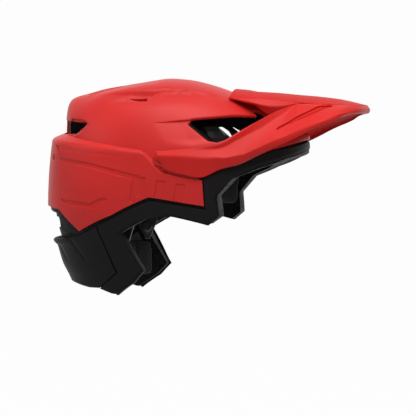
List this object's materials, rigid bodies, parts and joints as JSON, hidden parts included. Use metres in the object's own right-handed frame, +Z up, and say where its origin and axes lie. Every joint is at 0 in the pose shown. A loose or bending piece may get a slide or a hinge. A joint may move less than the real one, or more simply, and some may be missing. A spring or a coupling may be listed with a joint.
{
  "type": "open-face trail helmet",
  "caption": "Open-face trail helmet with low sides, ear openings, a tilting one-piece visor, a nape drop, slip liner, pads and a magnetic strap buckle.",
  "frame": {"origin": "middle of the head space at the base of the crown's dome, on the mid-plane", "axes": "+X to the face, +Y to the wearer's left, +Z up"},
  "size_m": [0.353, 0.2378, 0.2342],
  "materials": {
    "shell_red": "fine matt paint with a soft sheen",
    "visor_red": "matt paint, glossier on its bevels",
    "trim_black": "satin moulded skin",
    "foam": "raw expanded foam with fine beads",
    "pin_grey": "smooth moulded",
    "washer_rubber": "matt",
    "liner_sheet": "smooth low-friction sheet",
    "anchor_rubber": "soft elastomer",
    "pad_cloth": "brushed knit over foam",
    "webbing": "flat woven webbing",
    "buckle_black": "satin moulded",
    "magnet": "nickel",
    "pull_red": "matt"
  },
  "bodies": {
    "helmet": {"crown_shell": "shell_red", "rear_band": "shell_red", "lower_trim": "trim_black", "nape_cover": "trim_black", "foam_upper": "foam", "foam_rear": "foam", "foam_lower": "foam", "pivot_bushes": "pin_grey", "friction_washers": "washer_rubber", "liner_anchors": "anchor_rubber", "temple_pad_left": "pad_cloth", "temple_pad_right": "pad_cloth", "ear_pad_left": "pad_cloth", "ear_pad_right": "pad_cloth", "nape_pad": "pad_cloth", "front_strap_left": "webbing", "front_strap_right": "webbing", "rear_strap_left": "webbing", "rear_strap_right": "webbing", "chin_strap_left": "webbing", "chin_strap_right": "webbing", "strap_dividers": "buckle_black", "strap_anchors": "buckle_black", "buckle_base": "buckle_black", "buckle_magnets": "magnet"},
    "visor_body": {"visor": "visor_red", "pivot_pins": "pin_grey"},
    "liner_body": {"slip_liner": "liner_sheet", "brow_pad": "pad_cloth", "crown_pad": "pad_cloth", "side_pad_left": "pad_cloth", "side_pad_right": "pad_cloth", "rear_pad": "pad_cloth"},
    "slider_body": {"buckle_slider": "buckle_black", "buckle_pull": "pull_red"}
  },
  "joints": [
    {"name": "visor_tilt", "type": "hinge", "parent": "helmet", "child": "visor_body", "pos_m": [0.02, 0, 0.003], "axis": [0, -1, 0], "range_deg": [0, 15]},
    {"name": "liner_yaw", "type": "hinge", "parent": "helmet", "child": "liner_body", "pos_m": [0, 0, 0], "axis": [0, 0, 1], "range_deg": [-3, 3], "stiffness_Nm_per_rad": 2},
    {"name": "buckle_release", "type": "slide", "parent": "helmet", "child": "slider_body", "axis": [0, 1, 0], "range_m": [0, 0.008]}
  ]
}
